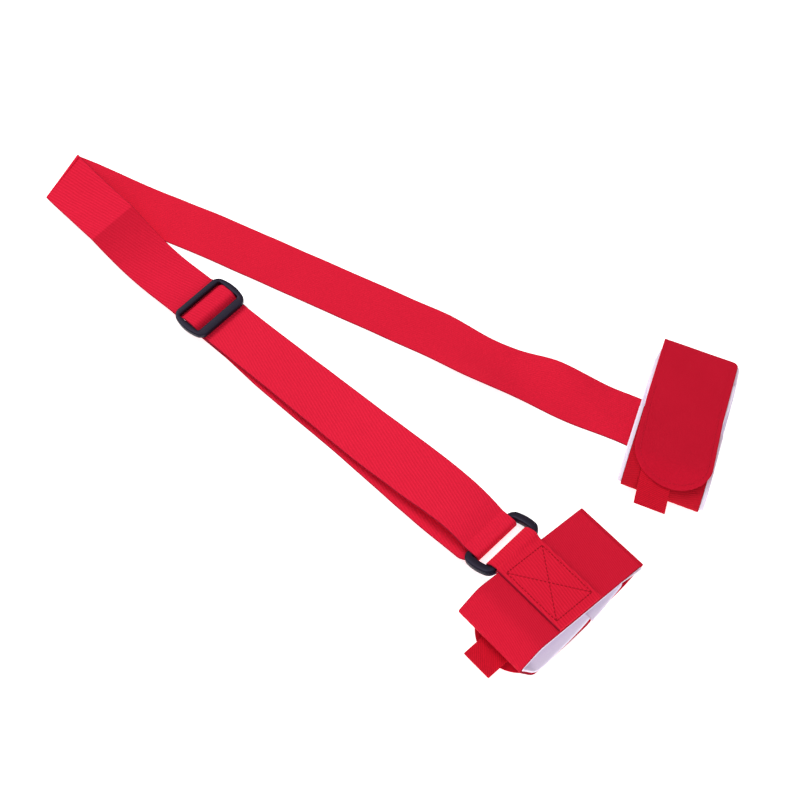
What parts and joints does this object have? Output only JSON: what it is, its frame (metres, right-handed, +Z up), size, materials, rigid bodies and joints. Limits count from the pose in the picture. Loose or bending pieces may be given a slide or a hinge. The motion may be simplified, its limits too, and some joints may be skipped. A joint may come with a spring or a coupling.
{
  "type": "two-cuff carrying strap",
  "caption": "Over-the-shoulder webbing sling with a slider, a ring and a padded hook-and-loop cuff at each end.",
  "frame": {"origin": "on the table, under the middle of the shoulder fold, at the long leg's underside", "axes": "+X down the leg that carries the slider, towards the ring; +Z up from the table; +Y towards the second cuff"},
  "size_m": [0.6707, 0.3787, 0.0302],
  "materials": {
    "strap_webbing": "ribbed polyester webbing, matt with a slight sheen",
    "cuff_webbing": "fine ribbed webbing, matt",
    "flap_fabric": "brushed loop fabric, matt",
    "lining_foam": "foam-backed fabric, soft white",
    "hook_tape": "hook tape",
    "loop_tape": "loop tape, fuzzy",
    "pull_ribbon": "twill ribbon",
    "thread": "twisted sewing thread",
    "buckle_plastic": "moulded black acetal, satin"
  },
  "bodies": {
    "long_leg": {"webbing_long_leg": "strap_webbing", "webbing_shoulder_fold": "strap_webbing"},
    "slider_leg": {"webbing_slider_leg": "strap_webbing"},
    "slider": {"slider": "buckle_plastic", "webbing_slider_bend": "strap_webbing", "webbing_sewn_end": "strap_webbing", "sewn_end_stitching": "thread", "webbing_front_run": "strap_webbing", "webbing_return_run": "strap_webbing"},
    "ring_bight": {"webbing_ring_bight": "strap_webbing"},
    "ring": {"ring": "buckle_plastic"},
    "cuff_a": {"ring_tab_loop": "strap_webbing", "ring_tab": "strap_webbing", "ring_tab_stitching": "thread", "cuff_a_shell": "cuff_webbing", "cuff_a_lining": "lining_foam", "cuff_a_loop_patch": "loop_tape", "cuff_a_pull_root": "pull_ribbon"},
    "cuff_a_flap": {"cuff_a_flap": "flap_fabric", "cuff_a_flap_lining": "lining_foam", "cuff_a_hook_patch": "hook_tape"},
    "cuff_a_pull": {"cuff_a_pull_tab": "pull_ribbon"},
    "cuff_b": {"webbing_cuff_b_end": "strap_webbing", "cuff_b_shell": "cuff_webbing", "cuff_b_lining": "lining_foam", "cuff_b_loop_patch": "loop_tape", "cuff_b_pull_root": "pull_ribbon"},
    "cuff_b_flap": {"cuff_b_flap": "flap_fabric", "cuff_b_flap_lining": "lining_foam", "cuff_b_hook_patch": "hook_tape", "flap_b_stitching": "thread"},
    "cuff_b_pull": {"cuff_b_pull_tab": "pull_ribbon"}
  },
  "joints": [
    {"name": "shoulder_fold", "type": "hinge", "parent": "long_leg", "child": "slider_leg", "pos_m": [-0.00693, -0.00097, 0.007], "axis": [0.1383, -0.9904, 0], "range_deg": [0, 170], "deforming": ["webbing_shoulder_fold"]},
    {"name": "slider_slide", "type": "slide", "parent": "slider_leg", "child": "slider", "axis": [1, 0, 0], "range_m": [-0.07, 0.48], "deforming": ["webbing_slider_leg"]},
    {"name": "ring_slide", "type": "slide", "parent": "slider", "child": "ring_bight", "axis": [1, 0, 0], "range_m": [-0.24, 0.035], "deforming": ["webbing_front_run", "webbing_return_run"]},
    {"name": "ring_swing", "type": "hinge", "parent": "ring_bight", "child": "ring", "pos_m": [0.5494, 0, 0.0075], "axis": [0, -0.9962, 0.0872], "range_deg": [-20, 70]},
    {"name": "cuff_a_swing", "type": "hinge", "parent": "ring", "child": "cuff_a", "pos_m": [0.5746, 0.00071, 0.01566], "axis": [0, -0.9962, 0.0872], "range_deg": [-45, 75]},
    {"name": "cuff_a_flap_open", "type": "hinge", "parent": "cuff_a", "child": "cuff_a_flap", "pos_m": [0.62125, 0.02733, 0], "axis": [0.9979, -0.0645, 0], "range_deg": [0, 150]},
    {"name": "cuff_a_pull_flex", "type": "hinge", "parent": "cuff_a", "child": "cuff_a_pull", "pos_m": [0.62174, -0.0657, 0.008], "axis": [0.9979, -0.0645, 0], "range_deg": [-30, 12]},
    {"name": "cuff_b_swing", "type": "hinge", "parent": "long_leg", "child": "cuff_b", "pos_m": [0.56598, 0.17402, 0.0014], "axis": [0.3827, -0.9239, 0], "range_deg": [-35, 90]},
    {"name": "cuff_b_flap_open", "type": "hinge", "parent": "cuff_b", "child": "cuff_b_flap", "pos_m": [0.58395, 0.23202, 0.01338], "axis": [-0.9239, -0.3827, 0], "range_deg": [0, 150]},
    {"name": "cuff_b_pull_flex", "type": "hinge", "parent": "cuff_b", "child": "cuff_b_pull", "pos_m": [0.62308, 0.12397, 0.0179], "axis": [0.9239, 0.3827, 0], "range_deg": [-30, 50]}
  ],
  "couplings": [
    {"joint": "ring_slide", "follows": "slider_slide", "ratio": -0.5}
  ]
}
